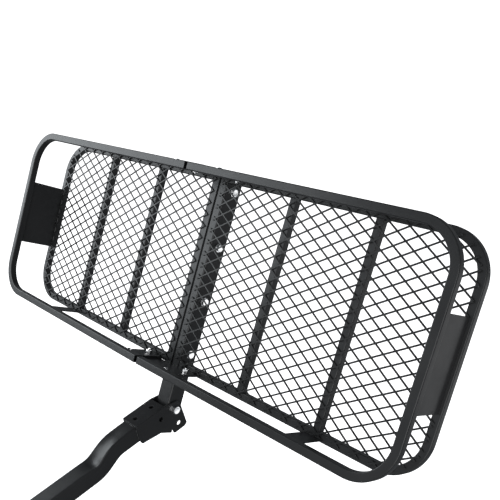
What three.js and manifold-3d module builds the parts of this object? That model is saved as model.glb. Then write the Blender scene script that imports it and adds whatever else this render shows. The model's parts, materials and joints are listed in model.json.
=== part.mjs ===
// A folding cargo basket carried on a 2 inch trailer hitch.
// A hollow shank slides into the receiver and ends in a clevis. The basket's centre tube turns on
// the clevis bolt, from level for driving to upright for storage. The basket comes in a left and a
// right half, bolted to the centre tube through saddle angles and to each other by splice brackets.
//
// Units are millimetres. +X is the basket's right, +Y points away from the vehicle, +Z is up.
// The origin is on the underside of the shank, straight below the hitch pin hole.
// Basket coordinates are (x, y, z) = (right, along the centre tube away from the pivot, up out of
// the basket), with y = 0 at the near side's outer face and z = 0 on top of the floor frame.

import * as THREE from 'three';
import { mergeVertices } from 'three/addons/utils/BufferGeometryUtils.js';
import Module from 'manifold-3d';

const wasm = await Module();
wasm.setup();

// ---------------------------------------------------------------- driving dimensions

const GAP = 0.3; // between touching pieces
const BASKET_TILT = 55; // degrees up from level, as the model stands
const HALF_DROOP = 1.017; // degrees that each half hangs below the centre line

const LENGTH = 1524;
const DEPTH = 528;
const TUBE = 20; // frame tube, square
const TUBE_ROUND = 2.8;
const TUBE_WALL = 2;
const CORNER_RADIUS = 102; // outside of the frame's corners
const RAIL_TOP = 128; // top of the upper rail over the floor frame
const RAIL_UNDERSIDE = RAIL_TOP - TUBE;
const RAIL_SEAM = 3.5; // from the centre line to each rail half's end

const SQUARE_TUBE = 50.8; // centre tube and shank
const SQUARE_ROUND = 7;
const CENTRE_TUBE_WALL = 4.8;
const SHANK_WALL = 6.35;
const CENTRE_TUBE_TOP = -3.8; // below the floor frame's top
const CENTRE_TUBE_FAR_END = 520;

const PIVOT_BEFORE_BASKET = 120; // pivot to the basket's near side
const TUBE_TAIL = 64; // centre tube past the pivot
const LOCK_RADIUS = 50; // pivot to the lock pin holes
const PIVOT_Z = CENTRE_TUBE_TOP - SQUARE_TUBE / 2; // in basket coordinates

const SHANK_TIP = -75; // hitch pin hole to the shank's front end
const SHANK_REAR_END = 408;
const SHANK_BENDS = [283.5, 224.5]; // corner points of the S bend
const SHANK_RISE = 30;
const SHANK_BEND_RADIUS = 81;
const HITCH_PIN_HOLE = 8.4;
const PIVOT_FROM_SHANK_REAR = 72;
const PIVOT = new THREE.Vector3(0, SHANK_REAR_END + PIVOT_FROM_SHANK_REAR, SQUARE_TUBE / 2 + SHANK_RISE - 1.2);

const CLEVIS_INSIDE = 26; // half of the clear width
const CLEVIS_PLATE = 5;
const CLEVIS_OUTSIDE = CLEVIS_INSIDE + CLEVIS_PLATE;
const WEB_UNDERSIDE = 26.9; // over the pivot
const WEB_TOP = 31;
const WEB_FRONT = -127; // from the pivot
const WEB_REAR = -29.5;

const CROSS_BARS = [254, 498];
const MESH_EDGE = 8.5; // mesh panel's edge inside the frame's outline
const MESH_CENTRE_EDGE = 9.5;
const MESH_BOTTOM = 0.85;
const MESH_THICKNESS = 2.5;
const MESH_PITCH = [101, 63.4];
const MESH_PHASE = [39.6, 52]; // a strand crossing, from the centre line and the near side
const STRAND = 6;

const SHEET = 3; // end plates, struts, tabs and splice brackets
const END_PLATE_WIDTH = 200;
const STRUT_WIDTH = 50;
const STRUT_INSET = 5; // a strut's outer face from the frame's side
const SADDLE_SHEET = 3.5;
const SADDLE_INNER_EDGE = 3;
const SADDLE_DEPTH = 54;
const BRACKET_HALF_WIDTH = 104;
const BRACKET_INSET = 4; // outer face of the bracket's flanges from the frame's side
const BRACKET_PAN = 44; // half width of the flat that steps outwards
const BRACKET_STEP = 2; // half width taken by each slope
const BRACKET_PAN_INSET = -2.3;
const TAB_CENTRE = 79;
const TAB_WIDTH = 50;
const TAB_INSET = 0.7;
const TAB_HEIGHT = 105.7;
const BOLT_TAIL = 3.5; // bolt end past its nut
const SPLICE_BOLTS = { x: 80, heights: [20, 90] };
const TUBE_BOLTS = [39, 189, 339, 489];
const TUBE_BOLT_Z = -30;

// radius, width across flats, head height, nut height, washer radius and thickness
const M8 = { r: 4, flats: 13, head: 5.3, nut: 6.5 };
const M12 = { r: 6, flats: 19, head: 7.5, nut: 10.4, washer: 12, washerThickness: 2.2 };
const M14 = { r: 7, flats: 21, head: 8.8, nut: 12.6, washer: 14, washerThickness: 2.5 };
const HOLE_CLEARANCE = 0.4;
const ROUND_SIDES = 12;

// ---------------------------------------------------------------- materials

const powderCoat = () => new THREE.MeshStandardMaterial({ color: 0x2b2c2e, roughness: 0.5, metalness: 0.35 });
const zinc = () => new THREE.MeshStandardMaterial({ color: 0xb8bbbf, roughness: 0.35, metalness: 0.9 });

// ---------------------------------------------------------------- solids

function solid(geometry) {
  const bare = geometry.clone();
  bare.deleteAttribute('normal');
  bare.deleteAttribute('uv');
  const merged = mergeVertices(bare, 1e-4);
  const mesh = new wasm.Mesh({
    numProp: 3,
    vertProperties: Float32Array.from(merged.attributes.position.array),
    triVerts: Uint32Array.from(merged.index.array),
  });
  return new wasm.Manifold(mesh);
}

function geometryOf(manifold) {
  const mesh = manifold.getMesh();
  const geometry = new THREE.BufferGeometry();
  geometry.setAttribute('position', new THREE.BufferAttribute(Float32Array.from(mesh.vertProperties), 3));
  geometry.setIndex(new THREE.BufferAttribute(Uint32Array.from(mesh.triVerts), 1));
  return geometry;
}

const join = (first, ...others) => geometryOf(others.reduce((body, other) => body.add(solid(other)), solid(first)));
const cut = (body, tools) => geometryOf(tools.reduce((left, tool) => left.subtract(solid(tool)), solid(body)));

function box(x0, x1, y0, y1, z0, z1) {
  const geometry = new THREE.BoxGeometry(x1 - x0, y1 - y0, z1 - z0);
  return geometry.translate((x0 + x1) / 2, (y0 + y1) / 2, (z0 + z1) / 2);
}

// A round bar along X from x0 to x1.
function barAlongX(radius, x0, x1, y, z, sides = ROUND_SIDES) {
  const geometry = new THREE.CylinderGeometry(radius, radius, x1 - x0, sides);
  return geometry.rotateZ(Math.PI / 2).translate((x0 + x1) / 2, y, z);
}

// A closed outline with each corner rounded.
function roundedOutline(corners, radius) {
  const shape = new THREE.Shape();
  corners.forEach(([x, y], i) => {
    const corner = new THREE.Vector2(x, y);
    const before = new THREE.Vector2(...corners.at(i - 1)).sub(corner);
    const after = new THREE.Vector2(...corners[(i + 1) % corners.length]).sub(corner);
    const reach = Math.min(radius, before.length() * 0.45, after.length() * 0.45);
    const start = before.setLength(reach).add(corner);
    const end = after.setLength(reach).add(corner);
    if (i === 0) shape.moveTo(start.x, start.y);
    else shape.lineTo(start.x, start.y);
    shape.quadraticCurveTo(x, y, end.x, end.y);
  });
  shape.closePath();
  return shape;
}

const squareCorners = (half) => [[half, half], [-half, half], [-half, -half], [half, -half]];

function tubeSection(width, round, wall) {
  const section = roundedOutline(squareCorners(width / 2), round);
  const bore = squareCorners(width / 2 - wall).map((corner) => new THREE.Vector2(...corner));
  section.holes.push(new THREE.Path(bore.reverse()));
  return section;
}

// A plate in the XY plane, extruded up from z = 0.
function plate(shape, thickness, curveSegments = 3) {
  return new THREE.ExtrudeGeometry(shape, { depth: thickness, bevelEnabled: false, curveSegments });
}

// A path of straight runs and round bends. Its stations lie only at the ends and round the bends.
class BentPath extends THREE.Curve {
  constructor(corners, radius, bendSteps) {
    super();
    const last = corners.length - 1;
    const direction = (i) => corners[i + 1].clone().sub(corners[i]).normalize();
    this.stations = [{ point: corners[0], tangent: direction(0) }];
    for (let i = 1; i < last; i += 1) {
      const arriving = direction(i - 1);
      const leaving = direction(i);
      const turn = arriving.angleTo(leaving);
      const start = corners[i].clone().addScaledVector(arriving, -radius * Math.tan(turn / 2));
      const inward = leaving.clone().addScaledVector(arriving, -Math.cos(turn)).normalize();
      for (let step = 0; step <= bendSteps; step += 1) {
        const angle = (turn * step) / bendSteps;
        const point = start.clone().addScaledVector(arriving, radius * Math.sin(angle));
        point.addScaledVector(inward, radius * (1 - Math.cos(angle)));
        const tangent = arriving.clone().multiplyScalar(Math.cos(angle)).addScaledVector(inward, Math.sin(angle));
        this.stations.push({ point, tangent });
      }
    }
    this.stations.push({ point: corners[last], tangent: direction(last - 1) });
  }

  get steps() {
    return this.stations.length - 1;
  }

  getPointAt(u, target = new THREE.Vector3()) {
    return target.copy(this.stations[Math.round(u * this.steps)].point);
  }

  getTangentAt(u, target = new THREE.Vector3()) {
    return target.copy(this.stations[Math.round(u * this.steps)].tangent);
  }
}

function bentTube(section, path) {
  return new THREE.ExtrudeGeometry(section, { steps: path.steps, extrudePath: path, curveSegments: 2 });
}

// The outline of a formed sheet: the points run along one face, and the thickness lies to their left.
function sheetProfile(points, thickness) {
  const face = points.map(([x, y]) => new THREE.Vector2(x, y));
  const normals = face.slice(1).map((point, i) => {
    const along = point.clone().sub(face[i]).normalize();
    return new THREE.Vector2(-along.y, along.x);
  });
  const other = face.map((point, i) => {
    const first = normals[Math.max(i - 1, 0)];
    const second = normals[Math.min(i, normals.length - 1)];
    const mitre = first.clone().add(second).normalize();
    return point.clone().addScaledVector(mitre, thickness / mitre.dot(first));
  });
  return new THREE.Shape([...face, ...other.reverse()]);
}

// ---------------------------------------------------------------- fasteners, along +X

// Hex bolt with its head's underside at x = 0, its shank towards +X.
function hexBolt(size, length, flange = 0) {
  const head = new THREE.CylinderGeometry(size.flats / Math.sqrt(3), size.flats / Math.sqrt(3), size.head, 6);
  head.rotateZ(Math.PI / 2).translate(-size.head / 2, 0, 0);
  const shank = barAlongX(size.r, -size.head / 2, length, 0, 0);
  if (!flange) return join(head, shank);
  return join(head, shank, barAlongX(flange, -2, 0, 0, 0));
}

// Hex nut from x = 0 to x = its height.
function hexNut(size) {
  const body = new THREE.CylinderGeometry(size.flats / Math.sqrt(3), size.flats / Math.sqrt(3), size.nut, 6);
  body.rotateZ(Math.PI / 2).translate(size.nut / 2, 0, 0);
  return cut(body, [barAlongX(size.r + GAP, -1, size.nut + 1, 0, 0)]);
}

function washer(size) {
  const body = barAlongX(size.washer, 0, size.washerThickness, 0, 0, 2 * ROUND_SIDES);
  return cut(body, [barAlongX(size.r + GAP, -1, size.washerThickness + 1, 0, 0)]);
}

// ---------------------------------------------------------------- scene graph helpers

function piece(parent, name, geometry, material, place = [0, 0, 0]) {
  const mesh = new THREE.Mesh(geometry, material);
  mesh.name = name;
  mesh.position.set(...place);
  parent.add(mesh);
  return mesh;
}

const radians = THREE.MathUtils.degToRad;
const sideName = (side) => (side < 0 ? 'left' : 'right');
const endName = (end) => (end < 0 ? 'near' : 'far');
const object = new THREE.Group();

// ---------------------------------------------------------------- shank and clevis

function shankGeometry() {
  const low = SQUARE_TUBE / 2;
  const corners = [
    [SHANK_TIP, low],
    [SHANK_BENDS[1], low],
    [SHANK_BENDS[0], low + SHANK_RISE],
    [SHANK_REAR_END, low + SHANK_RISE],
  ].map(([y, z]) => new THREE.Vector3(0, y, z));
  const path = new BentPath(corners, SHANK_BEND_RADIUS, 5);
  const tube = bentTube(tubeSection(SQUARE_TUBE, SQUARE_ROUND, SHANK_WALL), path);
  return cut(tube, [barAlongX(HITCH_PIN_HOLE, -low - 1, low + 1, 0, low)]);
}

// In clevis coordinates the pivot is the origin. The two plates and the web are one weldment.
function clevisGeometry() {
  const outline = [
    [WEB_FRONT, WEB_TOP], [-30, WEB_TOP], [-10, 27], [13, 22], [21, 9], [25, -66], [16, -72],
    [-20.5, -72], [-23.5, -69], [-24.5, -56.5], [-27.5, -56], [-31, -63.5], // relief slot under the ear
    [-63, -40], [-124, -31], [WEB_FRONT, -23],
  ];
  const plates = [-CLEVIS_OUTSIDE, CLEVIS_INSIDE].map((x) => {
    const geometry = plate(roundedOutline(outline, 7), CLEVIS_PLATE);
    geometry.rotateY(Math.PI / 2).rotateX(Math.PI / 2); // outline X to +Y, outline Y to +Z, depth to +X
    return geometry.translate(x, 0, 0);
  });
  const web = box(-CLEVIS_OUTSIDE + 1, CLEVIS_OUTSIDE - 1, WEB_FRONT, WEB_REAR, WEB_UNDERSIDE, WEB_TOP);
  const across = CLEVIS_OUTSIDE + 1;
  const pins = [[0, 0], [0, -LOCK_RADIUS], [-LOCK_RADIUS, 0]].map(([y, z]) => (
    barAlongX(M14.r + HOLE_CLEARANCE, -across, across, y, z)
  ));
  const weldHoles = [-52, -107].map((y) => (
    new THREE.CylinderGeometry(6, 6, 20, ROUND_SIDES).rotateX(Math.PI / 2).translate(0, y, WEB_TOP)
  ));
  return cut(join(...plates, web), [...pins, ...weldHoles]);
}

function addPivotFasteners(parent) {
  const headSeat = CLEVIS_OUTSIDE + GAP;
  const nutSeat = headSeat + M14.washerThickness + GAP;
  const bolt = hexBolt(M14, headSeat + nutSeat + M14.nut + BOLT_TAIL).rotateY(Math.PI);
  piece(parent, 'pivot_bolt', bolt, zinc(), [headSeat, 0, 0]);
  piece(parent, 'pivot_washer', washer(M14), zinc(), [GAP - nutSeat, 0, 0]);
  piece(parent, 'pivot_nut', hexNut(M14), zinc(), [-nutSeat - M14.nut, 0, 0]);
}

piece(object, 'shank', shankGeometry(), powderCoat());
const pivotGroup = new THREE.Group();
pivotGroup.position.copy(PIVOT);
object.add(pivotGroup);
piece(pivotGroup, 'clevis', clevisGeometry(), powderCoat());
addPivotFasteners(pivotGroup);

// ---------------------------------------------------------------- basket, centre tube and saddles

const tilted = new THREE.Group();
tilted.rotation.x = radians(BASKET_TILT);
pivotGroup.add(tilted);
const basket = new THREE.Group();
basket.position.set(0, PIVOT_BEFORE_BASKET, -PIVOT_Z);
tilted.add(basket);

function centreTubeGeometry() {
  const start = -PIVOT_BEFORE_BASKET - TUBE_TAIL;
  const section = tubeSection(SQUARE_TUBE, SQUARE_ROUND, CENTRE_TUBE_WALL);
  const tube = plate(section, CENTRE_TUBE_FAR_END - start, 2).rotateX(-Math.PI / 2).translate(0, start, PIVOT_Z);
  const across = SQUARE_TUBE / 2 + 1;
  const pinHole = (y) => barAlongX(M14.r + HOLE_CLEARANCE, -across, across, y, PIVOT_Z);
  const boltHoles = TUBE_BOLTS.map((y) => barAlongX(M12.r + HOLE_CLEARANCE, -across, across, y, TUBE_BOLT_Z));
  return cut(tube, [pinHole(-PIVOT_BEFORE_BASKET), pinHole(-PIVOT_BEFORE_BASKET - LOCK_RADIUS), ...boltHoles]);
}

const SADDLE_SIDE = SQUARE_TUBE / 2 + GAP; // inner face of a saddle's side flange
const SADDLE_OUTSIDE = SADDLE_SIDE + SADDLE_SHEET;

function saddleGeometry(side) {
  const face = [[SADDLE_INNER_EDGE, 0], [SADDLE_OUTSIDE, 0], [SADDLE_OUTSIDE, -SADDLE_DEPTH]];
  const profile = sheetProfile(face.map(([x, z]) => [side * x, z]), -side * SADDLE_SHEET);
  const angle = plate(profile, DEPTH).rotateX(Math.PI / 2).translate(0, DEPTH, 0);
  const holes = TUBE_BOLTS.map((y) => {
    const ends = [side * (SADDLE_SIDE - 1), side * (SADDLE_OUTSIDE + 1)].sort((a, b) => a - b);
    return barAlongX(M12.r + HOLE_CLEARANCE, ...ends, y, TUBE_BOLT_Z);
  });
  return cut(angle, holes);
}

piece(basket, 'centre_tube', centreTubeGeometry(), powderCoat());
for (const side of [-1, 1]) piece(basket, `saddle_angle_${sideName(side)}`, saddleGeometry(side), powderCoat());

TUBE_BOLTS.forEach((y, i) => {
  const number = i + 1;
  const headSeat = SADDLE_OUTSIDE + GAP;
  const nutSeat = headSeat + M12.washerThickness + GAP;
  const bolt = hexBolt(M12, headSeat + nutSeat + M12.nut + BOLT_TAIL, M12.washer).rotateY(Math.PI);
  piece(basket, `tube_bolt_${number}`, bolt, zinc(), [headSeat, y, TUBE_BOLT_Z]);
  piece(basket, `tube_bolt_washer_${number}`, washer(M12), zinc(), [GAP - nutSeat, y, TUBE_BOLT_Z]);
  piece(basket, `tube_bolt_nut_${number}`, hexNut(M12), zinc(), [-nutSeat - M12.nut, y, TUBE_BOLT_Z]);
});

// ---------------------------------------------------------------- one half of the basket

// A frame loop with its two ends towards the centre line and round corners at the far side.
function loopGeometry(side, seam, middleHeight) {
  const near = TUBE / 2;
  const far = DEPTH - near;
  const outer = LENGTH / 2 - near;
  const corners = [[seam, near], [outer, near], [outer, far], [seam, far]];
  const points = corners.map(([x, y]) => new THREE.Vector3(side * x, y, middleHeight));
  const path = new BentPath(points, CORNER_RADIUS - near, 8);
  return bentTube(tubeSection(TUBE, TUBE_ROUND, TUBE_WALL), path);
}

function crossBarGeometry() {
  const clearance = TUBE + GAP;
  const bar = plate(tubeSection(TUBE, TUBE_ROUND, TUBE_WALL), DEPTH - 2 * clearance, 2);
  return bar.rotateX(-Math.PI / 2).translate(0, clearance, -TUBE / 2);
}

function meshOutline() {
  const outer = LENGTH / 2 - TUBE / 2 - SHEET / 2 - 1;
  const near = MESH_EDGE;
  const far = DEPTH - MESH_EDGE;
  const radius = CORNER_RADIUS - MESH_EDGE;
  const shape = new THREE.Shape();
  shape.moveTo(MESH_CENTRE_EDGE, near);
  shape.lineTo(outer - radius, near);
  shape.absarc(outer - radius, near + radius, radius, -Math.PI / 2, 0, false);
  shape.absarc(outer - radius, far - radius, radius, 0, Math.PI / 2, false);
  shape.lineTo(MESH_CENTRE_EDGE, far);
  shape.closePath();
  return shape;
}

// Diamond openings cut from a sheet leave the strands. Scraps cut loose at the edges are dropped.
function meshPanelGeometry() {
  const sheet = solid(plate(meshOutline(), MESH_THICKNESS));
  const half = MESH_PITCH.map((pitch) => pitch / 2);
  const apothem = (half[0] * half[1]) / Math.hypot(...half);
  const shrink = 1 - STRAND / 2 / apothem;
  const [a, b] = half.map((reach) => reach * shrink);
  const diamond = new THREE.Shape([[a, 0], [0, b], [-a, 0], [0, -b]].map((p) => new THREE.Vector2(...p)));
  const cutter = plate(diamond, MESH_THICKNESS + 2).translate(0, 0, -1);
  const openings = [];
  for (let column = -1; column * half[0] < LENGTH / 2; column += 1) {
    const offset = column % 2 === 0 ? half[1] : 0;
    for (let y = MESH_PHASE[1] - 2 * MESH_PITCH[1] + offset; y < DEPTH + half[1]; y += MESH_PITCH[1]) {
      openings.push(solid(cutter.clone().translate(MESH_PHASE[0] + column * half[0], y, 0)));
    }
  }
  const pieces = sheet.subtract(wasm.Manifold.union(openings)).decompose();
  return geometryOf(pieces.reduce((largest, one) => (one.volume() > largest.volume() ? one : largest)));
}

function mirrored(geometry, side) {
  if (side > 0) return geometry;
  const flipped = geometry.clone().scale(-1, 1, 1);
  const index = flipped.index.array;
  for (let i = 0; i < index.length; i += 3) [index[i], index[i + 1]] = [index[i + 1], index[i]];
  return flipped;
}

const meshPanel = meshPanelGeometry();
const plateBottom = GAP;
const plateTop = RAIL_UNDERSIDE - GAP;

for (const side of [-1, 1]) {
  const half = new THREE.Group();
  half.rotation.y = side * radians(HALF_DROOP);
  basket.add(half);
  const name = sideName(side);
  const floorSeam = SADDLE_OUTSIDE + 2 * GAP + 0.1;
  piece(half, `floor_loop_${name}`, loopGeometry(side, floorSeam, -TUBE / 2), powderCoat());
  piece(half, `upper_rail_${name}`, loopGeometry(side, RAIL_SEAM, RAIL_TOP - TUBE / 2), powderCoat());
  CROSS_BARS.forEach((x, i) => {
    piece(half, `cross_bar_${name}_${i + 1}`, crossBarGeometry(), powderCoat(), [side * x, 0, 0]);
  });
  piece(half, `mesh_panel_${name}`, mirrored(meshPanel, side), powderCoat(), [0, 0, MESH_BOTTOM]);

  const plateX = LENGTH / 2 - TUBE / 2;
  const endPlate = box(
    -SHEET / 2, SHEET / 2, (DEPTH - END_PLATE_WIDTH) / 2, (DEPTH + END_PLATE_WIDTH) / 2, plateBottom, plateTop,
  );
  piece(half, `end_plate_${name}`, endPlate, powderCoat(), [side * plateX, 0, 0]);

  for (const end of [-1, 1]) {
    const strutFace = end < 0 ? STRUT_INSET : DEPTH - STRUT_INSET - SHEET;
    const strut = box(-STRUT_WIDTH / 2, STRUT_WIDTH / 2, strutFace, strutFace + SHEET, plateBottom, plateTop);
    piece(half, `strut_${name}_${endName(end)}`, strut, powderCoat(), [side * CROSS_BARS[1], 0, 0]);
  }
}

// ---------------------------------------------------------------- splice between the halves

// Drawn for the near side. The far side is the same, turned half a turn about the vertical.
function spliceBracketGeometry() {
  const flangeFace = BRACKET_INSET + SHEET;
  const stepEnd = BRACKET_PAN + BRACKET_STEP;
  const panFace = BRACKET_PAN_INSET + SHEET;
  const face = [
    [BRACKET_HALF_WIDTH, flangeFace], [stepEnd, flangeFace], [BRACKET_PAN, panFace],
    [-BRACKET_PAN, panFace], [-stepEnd, flangeFace], [-BRACKET_HALF_WIDTH, flangeFace],
  ];
  const hat = plate(sheetProfile(face, SHEET), TAB_HEIGHT - plateBottom).translate(0, 0, plateBottom);
  return cut(hat, spliceHoles(flangeFace));
}

function spliceHoles(flangeFace) {
  const holes = [];
  for (const x of [-SPLICE_BOLTS.x, SPLICE_BOLTS.x]) {
    for (const z of SPLICE_BOLTS.heights) {
      const hole = new THREE.CylinderGeometry(M8.r + HOLE_CLEARANCE, M8.r + HOLE_CLEARANCE, 20, ROUND_SIDES);
      holes.push(hole.translate(x, flangeFace - SHEET, z));
    }
  }
  return holes;
}

function spliceTabGeometry(side) {
  const low = side * TAB_CENTRE - TAB_WIDTH / 2;
  const tab = box(low, low + TAB_WIDTH, TAB_INSET, TAB_INSET + SHEET, plateBottom, TAB_HEIGHT);
  return cut(tab, spliceHoles(TAB_INSET + SHEET));
}

for (const end of [-1, 1]) {
  const splice = new THREE.Group();
  if (end > 0) {
    splice.rotation.z = Math.PI;
    splice.position.y = DEPTH;
  }
  basket.add(splice);
  const where = endName(end);
  piece(splice, `splice_bracket_${where}`, spliceBracketGeometry(), powderCoat());
  for (const side of [-1, 1]) {
    const name = sideName(-end * side);
    piece(splice, `splice_tab_${name}_${where}`, spliceTabGeometry(side), powderCoat());
    SPLICE_BOLTS.heights.forEach((z, i) => {
      const headSeat = TAB_INSET - GAP;
      const nutSeat = BRACKET_INSET + SHEET + GAP;
      const label = `${name}_${where}_${i + 1}`;
      const x = side * SPLICE_BOLTS.x;
      const bolt = hexBolt(M8, nutSeat - headSeat + M8.nut + BOLT_TAIL).rotateZ(Math.PI / 2);
      piece(splice, `splice_bolt_${label}`, bolt, zinc(), [x, headSeat, z]);
      piece(splice, `splice_nut_${label}`, hexNut(M8).rotateZ(Math.PI / 2), zinc(), [x, nutSeat, z]);
    });
  }
}

export default object;
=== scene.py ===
"""Looks of the folding hitch-mounted cargo basket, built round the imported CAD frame.

Lengths are in metres. Basket coordinates are (x, y, z) = (right, along the centre tube away from
the pivot, up out of the basket), with y = 0 at the near side and z = 0 on top of the floor frame.
"""

import json
import math
import random

import bmesh
import bpy
from mathutils import Matrix, Vector

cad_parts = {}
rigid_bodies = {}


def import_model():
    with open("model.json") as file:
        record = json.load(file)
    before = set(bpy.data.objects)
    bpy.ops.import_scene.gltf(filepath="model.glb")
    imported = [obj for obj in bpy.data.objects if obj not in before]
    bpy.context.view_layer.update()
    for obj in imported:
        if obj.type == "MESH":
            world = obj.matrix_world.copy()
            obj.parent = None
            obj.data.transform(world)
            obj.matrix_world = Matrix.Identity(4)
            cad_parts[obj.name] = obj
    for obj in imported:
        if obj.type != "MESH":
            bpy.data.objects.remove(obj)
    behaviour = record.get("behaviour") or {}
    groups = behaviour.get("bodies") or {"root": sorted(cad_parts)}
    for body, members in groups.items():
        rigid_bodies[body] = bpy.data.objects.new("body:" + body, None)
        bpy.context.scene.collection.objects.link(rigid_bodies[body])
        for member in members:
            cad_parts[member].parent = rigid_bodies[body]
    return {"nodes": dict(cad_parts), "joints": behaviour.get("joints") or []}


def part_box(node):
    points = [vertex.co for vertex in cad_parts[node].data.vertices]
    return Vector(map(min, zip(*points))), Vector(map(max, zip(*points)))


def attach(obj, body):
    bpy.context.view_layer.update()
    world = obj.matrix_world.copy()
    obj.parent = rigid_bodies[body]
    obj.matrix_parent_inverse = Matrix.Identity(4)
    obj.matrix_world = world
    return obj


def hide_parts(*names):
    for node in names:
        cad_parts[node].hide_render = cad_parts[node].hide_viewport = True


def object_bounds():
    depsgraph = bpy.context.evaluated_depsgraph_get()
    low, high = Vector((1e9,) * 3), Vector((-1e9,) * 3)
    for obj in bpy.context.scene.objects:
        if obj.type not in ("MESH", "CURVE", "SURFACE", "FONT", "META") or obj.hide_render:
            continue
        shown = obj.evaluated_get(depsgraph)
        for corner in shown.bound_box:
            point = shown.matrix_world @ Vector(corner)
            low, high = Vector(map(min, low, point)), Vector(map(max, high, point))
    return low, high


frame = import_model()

cad_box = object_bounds()
random.seed(7)

# ---------------------------------------------------------------- places, from the frame

BASKET_TILT = math.radians(55)
HALF_DROOP = math.radians(1.017)
PIVOT = Vector(frame["joints"][0]["pos_m"])
DEPTH = 0.528  # near side to far side of the basket
PIVOT_BEFORE_BASKET = 0.120
PIVOT_BELOW_FLOOR = 0.0292
LOCK_RADIUS = 0.050  # pivot to the lock pin holes
ROOT_BODY = "hitch_side"
BASKET_BODY = "basket"

CLEVIS = Matrix.Translation(PIVOT)
BASKET = (
    CLEVIS
    @ Matrix.Rotation(BASKET_TILT, 4, "X")
    @ Matrix.Translation((0, PIVOT_BEFORE_BASKET, PIVOT_BELOW_FLOOR))
)
HALF = {side: BASKET @ Matrix.Rotation(side * HALF_DROOP, 4, "Y") for side in (-1, 1)}
SIDE_NAME = {-1: "left", 1: "right"}
END_NAME = {-1: "near", 1: "far"}


def local_box(node, place):
    """Lowest and highest corner of a CAD node in the coordinates of place."""
    back = place.inverted()
    points = [back @ v.co for v in frame["nodes"][node].data.vertices]
    low = Vector(min(p[i] for p in points) for i in range(3))
    high = Vector(max(p[i] for p in points) for i in range(3))
    return low, high


# ---------------------------------------------------------------- materials


def new_material(name):
    material = bpy.data.materials.new(name)
    material.use_nodes = True
    nodes = material.node_tree.nodes
    nodes.clear()
    output = nodes.new("ShaderNodeOutputMaterial")
    shader = nodes.new("ShaderNodeBsdfPrincipled")
    material.node_tree.links.new(shader.outputs["BSDF"], output.inputs["Surface"])
    return material, shader


class NodeMaker:
    """Short calls for the few node types that the materials share."""

    def __init__(self, material):
        self.tree = material.node_tree
        self.place = self.tree.nodes.new("ShaderNodeTexCoord").outputs["Object"]

    def link(self, source, target):
        self.tree.links.new(source, target)

    def noise(self, scale, detail=2.0, roughness=0.5):
        node = self.tree.nodes.new("ShaderNodeTexNoise")
        node.inputs["Scale"].default_value = scale
        node.inputs["Detail"].default_value = detail
        node.inputs["Roughness"].default_value = roughness
        self.link(self.place, node.inputs["Vector"])
        return node.outputs["Fac"]

    def remap(self, value, from_low, from_high, to_low, to_high):
        node = self.tree.nodes.new("ShaderNodeMapRange")
        node.inputs["From Min"].default_value = from_low
        node.inputs["From Max"].default_value = from_high
        node.inputs["To Min"].default_value = to_low
        node.inputs["To Max"].default_value = to_high
        self.link(value, node.inputs["Value"])
        return node.outputs["Result"]

    def math(self, operation, first, second):
        node = self.tree.nodes.new("ShaderNodeMath")
        node.operation = operation
        for socket, value in zip(node.inputs, (first, second)):
            if isinstance(value, (int, float)):
                socket.default_value = value
            else:
                self.link(value, socket)
        return node.outputs[0]

    def mix(self, factor, first, second):
        node = self.tree.nodes.new("ShaderNodeMix")
        node.data_type = "RGBA"
        self.link(factor, node.inputs["Factor"])
        for socket, value in ((node.inputs["A"], first), (node.inputs["B"], second)):
            if isinstance(value, tuple):
                socket.default_value = (*value, 1)
            else:
                self.link(value, socket)
        return node.outputs["Result"]

    def bump(self, height, strength, distance, under=None):
        node = self.tree.nodes.new("ShaderNodeBump")
        node.inputs["Strength"].default_value = strength
        node.inputs["Distance"].default_value = distance
        self.link(height, node.inputs["Height"])
        if under is not None:
            self.link(under, node.inputs["Normal"])
        return node.outputs["Normal"]


def powder_coat(name, dark, light, gloss, peel):
    """Black powder coat: orange peel, cloudy gloss, rubbed edges and a little dust on what faces up."""
    material, shader = new_material(name)
    make = NodeMaker(material)
    tree = make.tree
    geometry = tree.nodes.new("ShaderNodeNewGeometry")
    clouds = make.remap(make.noise(9, 3, 0.5), 0.3, 0.7, 0, 1)
    colour = make.mix(clouds, dark, light)
    flecks = make.remap(make.noise(1900, 1), 0.70, 0.78, 0, 0.35)
    colour = make.mix(flecks, colour, (0.05, 0.052, 0.055))
    edges = make.remap(geometry.outputs["Pointiness"], 0.53, 0.64, 0, 1)
    wear = make.math("MULTIPLY", edges, make.remap(make.noise(60, 5, 0.7), 0.5, 0.7, 0, 0.5))
    colour = make.mix(wear, colour, (0.06, 0.062, 0.064))
    split = tree.nodes.new("ShaderNodeSeparateXYZ")
    make.link(geometry.outputs["Normal"], split.inputs["Vector"])
    upward = make.remap(split.outputs["Z"], 0.5, 1.0, 0, 1)
    dust = make.math("MULTIPLY", upward, make.remap(make.noise(30, 6, 0.65), 0.5, 0.8, 0, 0.12))
    colour = make.mix(dust, colour, (0.09, 0.088, 0.082))
    make.link(colour, shader.inputs["Base Color"])
    gloss_noise = make.remap(make.noise(22, 4, 0.6), 0.3, 0.7, gloss - 0.03, gloss + 0.03)
    make.link(make.math("ADD", gloss_noise, make.math("MULTIPLY", dust, 0.5)), shader.inputs["Roughness"])
    waves = make.bump(make.noise(160, 2), 0.10, 0.0003)
    make.link(make.bump(make.noise(1300, 2), peel, 0.00008, waves), shader.inputs["Normal"])
    return material


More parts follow.
